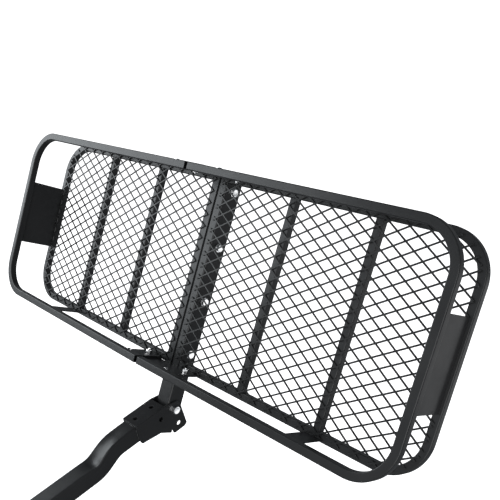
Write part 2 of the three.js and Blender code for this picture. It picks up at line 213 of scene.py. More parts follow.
def zinc_plate(name):
    """Bright zinc plating: fine turning lines, milky patches and a faint blue cast."""
    material, shader = new_material(name)
    make = NodeMaker(material)
    patches = make.remap(make.noise(260, 4, 0.6), 0.35, 0.65, 0, 1)
    colour = make.mix(patches, (0.66, 0.68, 0.71), (0.82, 0.82, 0.81))
    stains = make.remap(make.noise(700, 5, 0.7), 0.62, 0.74, 0, 0.5)
    make.link(make.mix(stains, colour, (0.38, 0.37, 0.34)), shader.inputs["Base Color"])
    make.link(make.remap(make.noise(480, 3), 0.3, 0.7, 0.16, 0.30), shader.inputs["Roughness"])
    make.link(make.bump(make.noise(2600, 2), 0.15, 0.00005), shader.inputs["Normal"])
    shader.inputs["Metallic"].default_value = 1.0
    return material


COAT = powder_coat("satin_black_coat", (0.022, 0.0227, 0.0240), (0.030, 0.0308, 0.0322), 0.33, 0.16)
COAT_MESH = powder_coat("black_coated_mesh", (0.020, 0.0206, 0.0216), (0.028, 0.0286, 0.0298), 0.34, 0.08)
COAT_WELD = powder_coat("coated_weld", (0.022, 0.0227, 0.0240), (0.036, 0.0368, 0.0384), 0.26, 0.30)
ZINC = zinc_plate("bright_zinc")
# The tack blobs' coat is lighter than the frame's coat: painted highlight that stands in for glints on
# the small weld blobs.
TACK_COAT_PAINTED_GLINT = powder_coat("tack_coat_painted_glint", (0.030, 0.031, 0.033), (0.075, 0.076, 0.080), 0.26, 0.30)

# ---------------------------------------------------------------- mesh tools


def add_piece(name, bm, place, material, body, replaced=(), bevel=0.0, sharp=math.radians(35)):
    """Turns a bmesh drawn in the coordinates of place into a finished piece that rides on a body."""
    bmesh.ops.remove_doubles(bm, verts=bm.verts, dist=1e-7)
    bmesh.ops.recalc_face_normals(bm, faces=bm.faces)
    bm.transform(place)
    mesh = bpy.data.meshes.new(name)
    for face in bm.faces:
        face.smooth = True
    bm.to_mesh(mesh)
    bm.free()
    mesh.set_sharp_from_angle(angle=sharp)
    mesh.materials.append(material)
    piece = bpy.data.objects.new(name, mesh)
    bpy.context.scene.collection.objects.link(piece)
    if bevel:
        edge = piece.modifiers.new("edges", "BEVEL")
        edge.width = bevel
        edge.segments = 2
        edge.limit_method = "ANGLE"
        edge.angle_limit = math.radians(30)
        edge.harden_normals = True
    piece.modifiers.new("flat_faces", "WEIGHTED_NORMAL").keep_sharp = True
    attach(piece, body)
    if replaced:
        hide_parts(*replaced)
    return piece


def rounded(points, radius, steps=6):
    """A closed outline with each corner replaced by an arc."""
    outline = []
    count = len(points)
    for i, point in enumerate(points):
        corner = Vector(point)
        before = Vector(points[i - 1]) - corner
        after = Vector(points[(i + 1) % count]) - corner
        limit = 0.48 * min(before.length, after.length)
        before.normalize()
        after.normalize()
        half = before.angle(after) / 2
        reach = min(radius / math.tan(half), limit)
        arc = reach * math.tan(half)
        centre = corner + (before + after).normalized() * math.hypot(reach, arc)
        start = corner + before * reach - centre
        turn = (corner + after * reach - centre).angle_signed(start)
        for k in range(steps + 1):
            outline.append(centre + Matrix.Rotation(turn * k / steps, 2) @ start)
    return outline


def square(half, radius, steps=5):
    return rounded([(half, half), (-half, half), (-half, -half), (half, -half)], radius, steps)


def hollow_sweep(bm, outer, inner, stations, loops=None):
    """A tube: two outlines of equal length carried along stations of (centre, u, v)."""
    loops = loops or [(outer, inner)] * len(stations)
    rings = []
    for (centre, u, v), pair in zip(stations, loops):
        rings.append([[bm.verts.new(centre + u * p.x + v * p.y) for p in loop] for loop in pair])
    count = len(outer)
    for a, b in zip(rings, rings[1:]):
        for k in range(count):
            j = (k + 1) % count
            bm.faces.new((a[0][k], a[0][j], b[0][j], b[0][k]))
            bm.faces.new((a[1][j], a[1][k], b[1][k], b[1][j]))
    for ring in (rings[0], rings[-1]):
        for k in range(count):
            j = (k + 1) % count
            bm.faces.new((ring[0][k], ring[0][j], ring[1][j], ring[1][k]))


def bent_stations(corners, radius, normal, steps=20):
    """Stations along a path of straight runs and round bends in the plane square to normal."""
    normal = Vector(normal)
    points = [Vector(c) for c in corners]
    headings = [(b - a).normalized() for a, b in zip(points, points[1:])]
    line = [(points[0], headings[0])]
    for corner, arriving, leaving in zip(points[1:], headings, headings[1:]):
        turn = arriving.angle(leaving)
        start = corner - arriving * radius * math.tan(turn / 2)
        inward = (leaving - arriving * math.cos(turn)).normalized()
        for k in range(steps + 1):
            angle = turn * k / steps
            place = start + arriving * radius * math.sin(angle) + inward * radius * (1 - math.cos(angle))
            line.append((place, arriving * math.cos(angle) + inward * math.sin(angle)))
    line.append((points[-1], headings[-1]))
    return [(place, normal, normal.cross(heading)) for place, heading in line]


def cut_bars(piece, bars):
    """Drills round holes. Each bar is (centre, direction, radius, length) in row coordinates."""
    bm = bmesh.new()
    for centre, direction, radius, length in bars:
        turn = Vector((0, 0, 1)).rotation_difference(Vector(direction)).to_matrix().to_4x4()
        bmesh.ops.create_cone(
            bm, cap_ends=True, segments=40, radius1=radius, radius2=radius, depth=length,
            matrix=Matrix.Translation(centre) @ turn,
        )
    mesh = bpy.data.meshes.new("drill")
    bm.to_mesh(mesh)
    bm.free()
    drill = bpy.data.objects.new("drill", mesh)
    bpy.context.scene.collection.objects.link(drill)
    piece.modifiers.clear()
    modifier = piece.modifiers.new("holes", "BOOLEAN")
    modifier.operation = "DIFFERENCE"
    modifier.solver = "EXACT"
    modifier.object = drill
    graph = bpy.context.evaluated_depsgraph_get()
    drilled = bpy.data.meshes.new_from_object(piece.evaluated_get(graph))
    piece.modifiers.remove(modifier)
    piece.data = drilled
    drilled.set_sharp_from_angle(angle=math.radians(35))
    piece.modifiers.new("flat_faces", "WEIGHTED_NORMAL").keep_sharp = True
    bpy.data.objects.remove(drill)


def merge(bm, part):
    """Moves the faces of part into bm and frees part."""
    mesh = bpy.data.meshes.new("part")
    part.to_mesh(mesh)
    part.free()
    bm.from_mesh(mesh)
    bpy.data.meshes.remove(mesh)


def flat_plate(bm, outlines, thickness, bevel=0.0006):
    """A plate from z = 0 to z = thickness: an outline, then holes in it, with rounded edges."""
    curve = bpy.data.curves.new("plate", "CURVE")
    curve.dimensions = "2D"
    curve.fill_mode = "BOTH"
    curve.extrude = thickness / 2 - bevel
    curve.bevel_depth = bevel
    curve.bevel_resolution = 1
    curve.offset = -bevel
    for outline in outlines:
        spline = curve.splines.new("POLY")
        spline.points.add(len(outline) - 1)
        for point, corner in zip(spline.points, outline):
            point.co = (corner[0], corner[1], 0, 1)
        spline.use_cyclic_u = True
    holder = bpy.data.objects.new("plate", curve)
    bpy.context.scene.collection.objects.link(holder)
    graph = bpy.context.evaluated_depsgraph_get()
    mesh = bpy.data.meshes.new_from_object(holder.evaluated_get(graph))
    mesh.transform(Matrix.Translation((0, 0, thickness / 2)))
    bm.from_mesh(mesh)
    bpy.data.objects.remove(holder)
    bpy.data.meshes.remove(mesh)


def circle(x, y, radius, count=32):
    turns = [2 * math.pi * k / count for k in range(count)]
    return [(x + radius * math.cos(t), y + radius * math.sin(t)) for t in turns]


def add_box(bm, low, high):
    """A block between two corners."""
    size = Vector(high) - Vector(low)
    middle = (Vector(high) + Vector(low)) / 2
    bmesh.ops.create_cube(bm, size=1, matrix=Matrix.Translation(middle) @ Matrix.Diagonal((*size, 1)))


def formed_sheet(bm, profile, rows, thickness):
    """A bent sheet: the profile in x and y, drawn up through rows of z, thickened to its left."""
    count = len(profile)
    headings = [(b - a).normalized() for a, b in zip(profile, profile[1:])]
    normals = [Vector((-h.y, h.x)) for h in headings]
    layers = []
    for depth in (0.0, thickness):
        layer = []
        for i, point in enumerate(profile):
            first = normals[max(i - 1, 0)]
            second = normals[min(i, count - 2)]
            mitre = (first + second).normalized()
            layer.append(point + mitre * depth / mitre.dot(first))
        layers.append(layer)
    outline = layers[0] + layers[1][::-1]
    rings = [[bm.verts.new((p.x, p.y, z)) for p in outline] for z in rows]
    total = len(outline)
    for a, b in zip(rings, rings[1:]):
        for k in range(total):
            j = (k + 1) % total
            bm.faces.new((a[k], a[j], b[j], b[k]))
    for ring in (rings[0], rings[-1]):
        for k in range(count - 1):
            bm.faces.new((ring[k], ring[k + 1], ring[total - 2 - k], ring[total - 1 - k]))


def bend_profile(corners, radius, steps=5):
    """An open line with each inner corner replaced by an arc."""
    points = [Vector(c) for c in corners]
    line = [points[0]]
    for before, corner, after in zip(points, points[1:], points[2:]):
        arriving = (corner - before).normalized()
        leaving = (after - corner).normalized()
        turn = arriving.angle(leaving)
        start = corner - arriving * radius * math.tan(turn / 2)
        inward = (leaving - arriving * math.cos(turn)).normalized()
        for k in range(steps + 1):
            angle = turn * k / steps
            along_start = arriving * radius * math.sin(angle)
            line.append(start + along_start + inward * radius * (1 - math.cos(angle)))
    line.append(points[-1])
    return line


# ---------------------------------------------------------------- square tube frames

TUBE = 0.020
TUBE_ROUND = 0.0026
TUBE_WALL = 0.002
CORNER_RADIUS = 0.102  # outside of the frame's corners
SQUARE_TUBE = 0.0508
SQUARE_ROUND = 0.0048
CENTRE_TUBE_WALL = 0.0048
SHANK_WALL = 0.00635
LOCK_HOLE = 0.0072
HITCH_PIN_HOLE = 0.0084


def frame_tube(bm, stations):
    """A run of the basket's square frame tube."""
    section = square(TUBE / 2, TUBE_ROUND)
    bore = square(TUBE / 2 - TUBE_WALL, TUBE_ROUND - TUBE_WALL / 2)
    hollow_sweep(bm, section, bore, stations)


def frame_loop(kind, side):
    node = f"{kind}_{SIDE_NAME[side]}"
    low, high = local_box(node, HALF[side])
    near, far = low.y + TUBE / 2, high.y - TUBE / 2
    level = (low.z + high.z) / 2
    seam, outer = sorted((abs(low.x), abs(high.x)))
    outer -= TUBE / 2
    corners = [(side * x, y, level) for x, y in ((seam, near), (outer, near), (outer, far), (seam, far))]
    bm = bmesh.new()
    frame_tube(bm, bent_stations(corners, CORNER_RADIUS - TUBE / 2, (0, 0, 1), 28))
    add_piece(f"{node}_tube", bm, HALF[side], COAT, BASKET_BODY, [node])


def cross_bar(side, number):
    node = f"cross_bar_{SIDE_NAME[side]}_{number}"
    low, high = local_box(node, HALF[side])
    x, z = (low.x + high.x) / 2, (low.z + high.z) / 2
    bm = bmesh.new()
    frame_tube(bm, bent_stations([(x, low.y, z), (x, high.y, z)], 0, (0, 0, 1)))
    add_piece(f"{node}_tube", bm, HALF[side], COAT, BASKET_BODY, [node])


def centre_tube():
    low, high = local_box("centre_tube", BASKET)
    z = (low.z + high.z) / 2
    bm = bmesh.new()
    section = square(SQUARE_TUBE / 2, SQUARE_ROUND, 8)
    bore = square(SQUARE_TUBE / 2 - CENTRE_TUBE_WALL, 0.0032, 8)
    hollow_sweep(bm, section, bore, bent_stations([(0, low.y, z), (0, high.y, z)], 0, (0, 0, 1)))
    piece = add_piece("centre_tube_body", bm, BASKET, COAT, BASKET_BODY, ["centre_tube"])
    lock = BASKET @ Vector((0, -PIVOT_BEFORE_BASKET - LOCK_RADIUS, z))
    cut_bars(piece, [(lock, (1, 0, 0), LOCK_HOLE, 0.07)])


LOWER_BEND = 0.228
UPPER_BEND = 0.284
BEND_REACH = 0.026


def bend_marks(station, outline):
    """The section of the shank where bending has drawn its walls in and out of line."""
    centre = station[0]
    lower = math.exp(-(((centre.y - LOWER_BEND) / BEND_REACH) ** 2))
    upper = math.exp(-(((centre.y - UPPER_BEND) / (1.4 * BEND_REACH)) ** 2))
    half = SQUARE_TUBE / 2
    marked = []
    for point in outline:
        across, height = point.x / half, point.y / half
        top = max(0.0, min(1.0, (height - 0.2) / 0.8))
        hollow = 1 - min(1.0, abs(across)) ** 2
        drop = top * (lower * (0.0016 + 0.0062 * hollow) + upper * (0.0010 + 0.0034 * hollow))
        belly = lower * 0.0026 * math.exp(-(((height - 0.62) / 0.35) ** 2))
        pinch = upper * 0.0012 * math.exp(-(((height - 0.2) / 0.6) ** 2))
        marked.append(Vector((point.x + across * (belly - pinch), point.y - drop)))
    return marked


def fine_stations(stations, longest):
    """The same stations with more between them, so that none are further apart than longest."""
    fine = [stations[0]]
    for (a, u, v), (b, _, w) in zip(stations, stations[1:]):
        parts = max(1, math.ceil((b - a).length / longest))
        for k in range(1, parts + 1):
            fine.append((a.lerp(b, k / parts), u, v.lerp(w, k / parts).normalized()))
    return fine


def filled(outline, parts):
    """The same closed outline with its long straight runs divided."""
    dense = []
    for a, b in zip(outline, outline[1:] + outline[:1]):
        count = parts if (b - a).length > 0.01 else 1
        dense.extend(a.lerp(b, k / count) for k in range(count))
    return dense


def shank():
    low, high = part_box("shank")
    half = SQUARE_TUBE / 2
    rise = high.z - low.z - SQUARE_TUBE
    path = [(0, low.y, half), (0, 0.2245, half), (0, 0.2835, half + rise), (0, high.y, half + rise)]
    stations = fine_stations(bent_stations(path, 0.081, (1, 0, 0), 16), 0.004)
    section = filled(square(half, SQUARE_ROUND, 8), 10)
    bore = filled(square(half - SHANK_WALL, 0.0028, 8), 10)
    bm = bmesh.new()
    loops = [(bend_marks(station, section), bend_marks(station, bore)) for station in stations]
    hollow_sweep(bm, section, bore, stations, loops)
    piece = add_piece("shank_body", bm, Matrix.Identity(4), COAT, ROOT_BODY, ["shank"])
    web_hole = Vector((0, PIVOT.y - 0.107, high.z))
    cut_bars(piece, [((0, 0, half), (1, 0, 0), HITCH_PIN_HOLE, 0.07), (web_hole, (0, 0, 1), 0.006, 0.02)])


# ---------------------------------------------------------------- clevis

CLEVIS_INSIDE = 0.026
CLEVIS_PLATE = 0.005
WEB_UNDERSIDE = 0.0269  # over the pivot
WEB_HOLE = 0.006
WEB_HOLES = (-0.052, -0.107)  # from the pivot
CLEVIS_OUTLINE = [
    (-127, 31), (-30, 31), (-10, 27), (13, 22), (21, 9), (25, -66), (16, -72),
    (-20.5, -72), (-23.5, -69), (-24.5, -56.5), (-27.5, -56), (-31, -63.5),
    (-63, -40), (-124, -31), (-127, -23),
]


def clevis():
    turn = Matrix(((0, 0, 1, 0), (1, 0, 0, 0), (0, 1, 0, 0), (0, 0, 0, 1)))
    outline = [tuple(p) for p in rounded([(y / 1000, z / 1000) for y, z in CLEVIS_OUTLINE], 0.006, 5)]
    holes = [circle(y, z, 0.0071) for y, z in ((0, 0), (0, -LOCK_RADIUS), (-LOCK_RADIUS, 0))]
    bm = bmesh.new()
    for x in (-CLEVIS_INSIDE - CLEVIS_PLATE, CLEVIS_INSIDE):
        plate = bmesh.new()
        flat_plate(plate, [outline, *holes], CLEVIS_PLATE, 0.0008)
        plate.transform(Matrix.Translation((x, 0, 0)) @ turn)
        merge(bm, plate)
    web = bmesh.new()
    half = CLEVIS_INSIDE + CLEVIS_PLATE - 0.0006
    corners = [(-half, -0.127), (half, -0.127), (half, -0.0295), (-half, -0.0295)]
    edge = [tuple(p) for p in rounded(corners, 0.001, 2)]
    web_holes = [circle(0, y, WEB_HOLE) for y in WEB_HOLES]
    flat_plate(web, [edge, *web_holes], 0.0043, 0.0006)
    web.transform(Matrix.Translation((0, 0, WEB_UNDERSIDE)))
    merge(bm, web)
    add_piece("clevis_weldment", bm, CLEVIS, COAT, ROOT_BODY, ["clevis"], sharp=math.radians(50))


# ---------------------------------------------------------------- sheet metal of the basket

SADDLE_TRIM = 0.0006  # the saddle angles stop this far short of the CAD edge at the seam
SADDLE_SHEET = 0.0035
SADDLE_BEND = 0.0042
BRACKET_SHEET = 0.003
BRACKET_BEND = 0.0022
BRACKET_SLOPE = (0.044, 0.046)  # from the centre line to each slope's foot and top
SHEET_EDGE = 0.0006


def saddle_angle(side):
    node = f"saddle_angle_{SIDE_NAME[side]}"
    low, high = local_box(node, BASKET)
    inner, outer = sorted((abs(low.x), abs(high.x)))
    inner += SADDLE_TRIM
    face = bend_profile([(inner, 0.0), (outer, 0.0), (outer, low.z)], SADDLE_BEND)
    bm = bmesh.new()
    formed_sheet(bm, face, (0.0, high.y), -SADDLE_SHEET)
    upright = Matrix(((side, 0, 0, 0), (0, 0, 1, 0), (0, 1, 0, 0), (0, 0, 0, 1)))
    bm.transform(upright)
    add_piece(f"{node}_sheet", bm, BASKET, COAT, BASKET_BODY, [node], bevel=0.0005)


def flat_sheet(node, place):
    """A flat piece of sheet that fills its CAD node's box."""
    low, high = local_box(node, place)
    bm = bmesh.new()
    add_box(bm, low, high)
    add_piece(f"{node}_sheet", bm, place, COAT, BASKET_BODY, [node], bevel=SHEET_EDGE)


FAR_SIDE = BASKET @ Matrix.Translation((0, DEPTH, 0)) @ Matrix.Rotation(math.pi, 4, "Z")
SIDE_PLACE = {-1: BASKET, 1: FAR_SIDE}


def splice_bracket(end):
    node = f"splice_bracket_{END_NAME[end]}"
    place = SIDE_PLACE[end]
    low, high = local_box(node, place)
    flange, pan = high.y, low.y + BRACKET_SHEET
    slope_foot, slope_top = BRACKET_SLOPE
    shape = [
        (high.x, flange), (slope_top, flange), (slope_foot, pan),
        (-slope_foot, pan), (-slope_top, flange), (low.x, flange),
    ]
    bm = bmesh.new()
    formed_sheet(bm, bend_profile(shape, BRACKET_BEND), (low.z, high.z), BRACKET_SHEET)
    add_piece(f"{node}_sheet", bm, place, COAT, BASKET_BODY, [node], bevel=SHEET_EDGE)


# ---------------------------------------------------------------- mesh floor

MESH_PITCH = (0.0505, 0.0317)
MESH_PHASE = {-1: (0.0396, 0.4322), 1: (0.0434, 0.4901)}  # a crossing, from the seam and near side
MESH_SKEW = {-1: 0.011, 1: -0.0147}
SEAM_TRIM = 0.004  # the strands stop this far inside the panel's edge at the seam
STRAND = 0.0041
STRAND_THICKNESS = 0.0028
PANEL_CORNER = 0.0935
SHORTEST_STUB = 0.12  # of the way to the next crossing


def inside_panel(x, y, box, radius):
    """How far a point lies inside the panel's outline, which is round at its two outer corners."""
    low, high = box
    margin = min(x - low.x, high.x - x, y - low.y, high.y - y)
    cx = high.x - radius
    cy = min(max(y, low.y + radius), high.y - radius)
    if x > cx and cy != y:
        margin = min(margin, radius - math.hypot(x - cx, y - cy))
    return margin


def mesh_panel(side):
    """A flattened diamond mesh, cut square through its strands at the panel's edge."""
    node = f"mesh_panel_{SIDE_NAME[side]}"
    flip = Matrix.Diagonal((side, 1, 1, 1))
    low, high = local_box(node, HALF[side] @ flip)
    box = (low + Vector((SEAM_TRIM, 0, 0)), high)
    half_x, half_y = MESH_PITCH[0] / 2, MESH_PITCH[1] / 2
    lean = math.atan2(half_y, half_x)
    tip_x, tip_y = STRAND / 2 / math.sin(lean), STRAND / 2 / math.cos(lean)
    start_x, start_y = MESH_PHASE[side]

    def crossing(column, row):
        y = start_y + row * half_y
        return Vector((start_x + column * half_x + MESH_SKEW[side] * (y - start_y), y, 0))

    places = {}
    for column in range(-4, 34):
        for row in range(-34, 12):
            if (column + row) % 2 == 0:
                place = crossing(column, row)
                if inside_panel(place.x, place.y, box, PANEL_CORNER) > 0.0005:
                    places[column, row] = place
    tips = []
    bm = bmesh.new()
    corners = {}
    for key, place in places.items():
        offsets = ((tip_x, 0), (0, tip_y), (-tip_x, 0), (0, -tip_y))
        corners[key] = [bm.verts.new(place + Vector((x, y, 0))) for x, y in offsets]
        bm.faces.new(corners[key])
    arms = {(1, 1): (0, 1, 2, 3), (-1, 1): (1, 2, 3, 0), (-1, -1): (2, 3, 0, 1), (1, -1): (3, 0, 1, 2)}
    for (column, row), place in places.items():
        for (right, up), (a, b, c, d) in arms.items():
            neighbour = (column + right, row + up)
            here = corners[column, row]
            if neighbour in places:
                if up > 0:
                    there = corners[neighbour]
                    bm.faces.new((here[a], there[d], there[c], here[b]))
                continue
            target = crossing(*neighbour)
            share = cut_share(place, target, box, PANEL_CORNER)
            if share < SHORTEST_STUB:
                continue
            step = (target - place) * share
            tips.append(place + step)
            ends = [bm.verts.new(here[k].co + step) for k in (a, b)]
            bm.faces.new((here[a], ends[0], ends[1], here[b]))
    thicken = bmesh.ops.extrude_face_region(bm, geom=bm.faces[:])
    raised = [v for v in thicken["geom"] if isinstance(v, bmesh.types.BMVert)]
    bmesh.ops.translate(bm, verts=raised, vec=(0, 0, STRAND_THICKNESS))
    bm.transform(flip @ Matrix.Translation((0, 0, low.z)))
    piece = add_piece(f"{node}_strands", bm, HALF[side], COAT_MESH, BASKET_BODY, [node], bevel=0.0005)
    piece.modifiers["edges"].segments = 1
    mesh_tacks(side, [flip @ tip for tip in tips])


def mesh_tacks(side, tips):
    """Blobs of weld that hold the cut strand ends on the tubes."""
    bm = bmesh.new()
    for tip in tips:
        if random.random() < 0.35:
            continue
        radius = random.uniform(0.0020, 0.0034)
        drift = Vector((random.uniform(-0.0015, 0.0015), random.uniform(-0.0015, 0.0015), 0.0012))
        shape = Matrix.Diagonal((1, random.uniform(0.7, 1.1), 0.55, 1))
        place = Matrix.Translation(tip + drift) @ Matrix.Rotation(random.uniform(0, math.pi), 4, "Z")
        bmesh.ops.create_icosphere(bm, subdivisions=2, radius=radius, matrix=place @ shape)
    name = f"mesh_tacks_{SIDE_NAME[side]}"
    # The blobs take the lighter coat, whose colour is a painted highlight.
    add_piece(name, bm, HALF[side], TACK_COAT_PAINTED_GLINT, BASKET_BODY, sharp=math.radians(60))


def cut_share(start, target, box, radius):
    """How much of the way from start to target lies inside the panel."""
    share = 1.0
    while share > 0:
        point = start.lerp(target, share)
        if inside_panel(point.x, point.y, box, radius) >= 0:
            return share
        share -= 0.02
    return 0.0


# ---------------------------------------------------------------- fasteners, drawn along +Z


def lathe_rings(bm, rings, count, closed=False):
    """Joins rings of (radius function, z), with a fan over each open end."""
    made = []
    angles = [2 * math.pi * k / count for k in range(count)]
    for radius, z in rings:
        corners = [(radius(t) * math.cos(t), radius(t) * math.sin(t), z(t)) for t in angles]
        made.append([bm.verts.new(corner) for corner in corners])
    pairs = list(zip(made, made[1:])) + ([(made[-1], made[0])] if closed else [])
    for a, b in pairs:
        for k in range(count):
            j = (k + 1) % count
            bm.faces.new((a[k], a[j], b[j], b[k]))
    if not closed:
        bm.faces.new(made[0])
        bm.faces.new(made[-1][::-1])


def hexagon(flats):
    """Radius of a hexagon at angle t."""
    return lambda t: flats / 2 / math.cos((t + math.pi / 6) % (math.pi / 3) - math.pi / 6)


def level(value):
    return lambda t: value


def chamfered(flats, face, direction):
    """Height of the hexagon's rim under a 30 degree chamfer at the face z."""
    shape = hexagon(flats)
    flat_circle = flats * 0.475
    return lambda t: face - direction * (shape(t) - flat_circle) * math.tan(math.radians(30))


def hex_body(bm, flats, bottom, top):
    """A hexagon with its top chamfered and a washer face under it."""
    shape = hexagon(flats)
    rings = [
        (level(flats * 0.475), level(bottom)),
        (level(flats * 0.475), level(bottom + 0.0003)),
        (shape, level(bottom + 0.0004)),
        (shape, chamfered(flats, top, 1)),
        (level(flats * 0.475), level(top)),
        (level(flats * 0.40), level(top)),
        (level(flats * 0.37), level(top - 0.0003)),
        (level(0.0004), level(top - 0.0003)),
    ]
    lathe_rings(bm, rings, 60)


def hex_nut(bm, flats, bore, height):
    shape = hexagon(flats)
    flat_circle = flats * 0.475
    rings = [
        (level(bore), level(0.0007)),
        (level(bore + 0.0007), level(0)),
        (level(flat_circle), level(0)),
        (shape, chamfered(flats, 0, -1)),
        (shape, chamfered(flats, height, 1)),
        (level(flat_circle), level(height)),
        (level(bore + 0.0007), level(height)),
        (level(bore), level(height - 0.0007)),
    ]
    lathe_rings(bm, rings, 60, closed=True)


def threaded_rod(bm, radius, pitch, thread_from, end):
    """A rod from z = 0 with a helical thread from thread_from to its chamfered end."""
    depth = 0.55 * pitch
    steps = 8
    rings = [(level(radius), level(0)), (level(radius), level(thread_from))]
    count = int((end - thread_from) / pitch * steps)
    for k in range(1, count):
        z = thread_from + (end - thread_from) * k / count
        fade = min(1.0, (end - z) / (1.2 * pitch))

        def groove(t, z=z, fade=fade):
            phase = (z / pitch - t / (2 * math.pi)) % 1
            return radius - depth * (1 - abs(2 * phase - 1)) - 0.0009 * (1 - fade)

        rings.append((groove, level(z)))
    rings.append((level(radius - depth - 0.0008), level(end)))
    lathe_rings(bm, rings, 24)


def washer_body(bm, inner, outer, thickness):
    """A stamped washer, its faces rolled down towards the rim."""
    edge = 0.0004
    roll = 0.22 * thickness
    flat = 0.78 * outer
    rings = [
        (level(inner), level(0)), (level(flat), level(0)), (level(outer - edge), level(roll)),
        (level(outer), level(roll + edge)), (level(outer), level(thickness - roll - edge)),
        (level(outer - edge), level(thickness - roll)), (level(flat), level(thickness)),
        (level(inner + edge), level(thickness)), (level(inner), level(thickness - edge)),
    ]
    lathe_rings(bm, rings, 48, closed=True)


def along(direction):
    """The turn that takes +Z to a direction."""
    return Vector((0, 0, 1)).rotation_difference(Vector(direction)).to_matrix().to_4x4()


def fastener(node, place, direction, body, build, twist=0.0):
    """A new fastener where the CAD node lies. build draws it from z = 0 upwards."""
    low, high = local_box(node, place)
    centre = (low + high) / 2
    axis = Vector(direction)
    start = centre - axis * abs((high - low).dot(axis)) / 2
    bm = bmesh.new()
    build(bm, abs((high - low).dot(axis)))
    bm.transform(Matrix.Translation(start) @ along(direction) @ Matrix.Rotation(twist, 4, "Z"))
    add_piece(f"{node}_detail", bm, place, ZINC, body, [node])


def bolt_builder(flats, head, radius, pitch, thread_length, flange=0.0):
    def build(bm, length):
        if flange:
            washer_body(bm, radius - 0.0002, flange, 0.002)
            bmesh.ops.translate(bm, verts=bm.verts, vec=(0, 0, head - 0.002))
        shaft = bmesh.new()
        threaded_rod(shaft, radius, pitch, length - head - thread_length + 0.0003, length - head + 0.0003)
        shaft.transform(Matrix.Translation((0, 0, head - 0.0003)))
        top = bmesh.new()
        hex_body(top, flats, 0, head)
        top.transform(Matrix.Translation((0, 0, head)) @ Matrix.Rotation(math.pi, 4, "X"))
        merge(bm, shaft)
        merge(bm, top)

    return build


M8 = {"flats": 0.013, "head": 0.0053, "radius": 0.004, "pitch": 0.00125}
M12 = {"flats": 0.019, "head": 0.0075, "radius": 0.006, "pitch": 0.00175}
M14 = {"flats": 0.021, "head": 0.0088, "radius": 0.007, "pitch": 0.002}


def fasteners():
    def nut_builder(flats, bore):
        return lambda bm, length: hex_nut(bm, flats, bore, length)

    def washer_builder(outer, bore):
        return lambda bm, length: washer_body(bm, bore, outer, length)

    right, left = (1, 0, 0), (-1, 0, 0)
    for i in range(1, 5):
        twist = random.uniform(0, math.pi / 3)
        bolt = bolt_builder(**M12, thread_length=0.030, flange=0.012)
        nut = nut_builder(M12["flats"], 0.0061)
        fastener(f"tube_bolt_{i}", BASKET, left, BASKET_BODY, bolt, twist)
        fastener(f"tube_bolt_nut_{i}", BASKET, right, BASKET_BODY, nut, twist + 0.3)
        fastener(f"tube_bolt_washer_{i}", BASKET, right, BASKET_BODY, washer_builder(0.012, 0.0064))
    bolt = bolt_builder(**M14, thread_length=0.034)
    fastener("pivot_bolt", CLEVIS, left, ROOT_BODY, bolt, 0.2)
    fastener("pivot_nut", CLEVIS, right, ROOT_BODY, nut_builder(M14["flats"], 0.0071), 0.45)
    fastener("pivot_washer", CLEVIS, right, ROOT_BODY, washer_builder(0.014, 0.0075))
    for end in (-1, 1):
        for name in ("left", "right"):
            for i in (1, 2):
                label = f"{name}_{END_NAME[end]}_{i}"
                twist = math.pi / 6 + random.uniform(-0.2, 0.2)
                inward = (0, -end, 0)
                bolt = bolt_builder(**M8, thread_length=0.012)
                nut = nut_builder(M8["flats"], 0.0041)
                fastener(f"splice_bolt_{label}", BASKET, inward, BASKET_BODY, bolt, twist)
                fastener(f"splice_nut_{label}", BASKET, inward, BASKET_BODY, nut, twist)


# ---------------------------------------------------------------- welds


def weld_bead(bm, start, end, radius, wander=0.0004):
    """A bead of overlapping ripples laid from start to end."""
    start, end = Vector(start), Vector(end)
    heading = (end - start).normalized()
    side = heading.orthogonal().normalized()
    over = heading.cross(side)
    ripple = radius * 0.75
    steps = max(6, int((end - start).length / ripple * 5))
    sides = 10
    rings = []
    for k in range(steps + 1):
        share = k / steps
        distance = share * (end - start).length
        taper = min(1.0, 0.35 + 4 * min(share, 1 - share) * (end - start).length / (8 * radius))
        swell = radius * taper * (0.88 + 0.14 * abs(math.sin(math.pi * distance / ripple)))
        drift = side * random.uniform(-wander, wander) + over * random.uniform(-wander, wander)
        centre = start.lerp(end, share) + drift * 0.5
        turns = [2 * math.pi * j / sides for j in range(sides)]
        spokes = [side * math.cos(t) + over * math.sin(t) for t in turns]
        rings.append([bm.verts.new(centre + spoke * swell) for spoke in spokes])
    for a, b in zip(rings, rings[1:]):
        for j in range(sides):
            i = (j + 1) % sides
            bm.faces.new((a[j], a[i], b[i], b[j]))
    bm.faces.new(rings[0][::-1])
    bm.faces.new(rings[-1])


SHEET_WELD = 0.0019


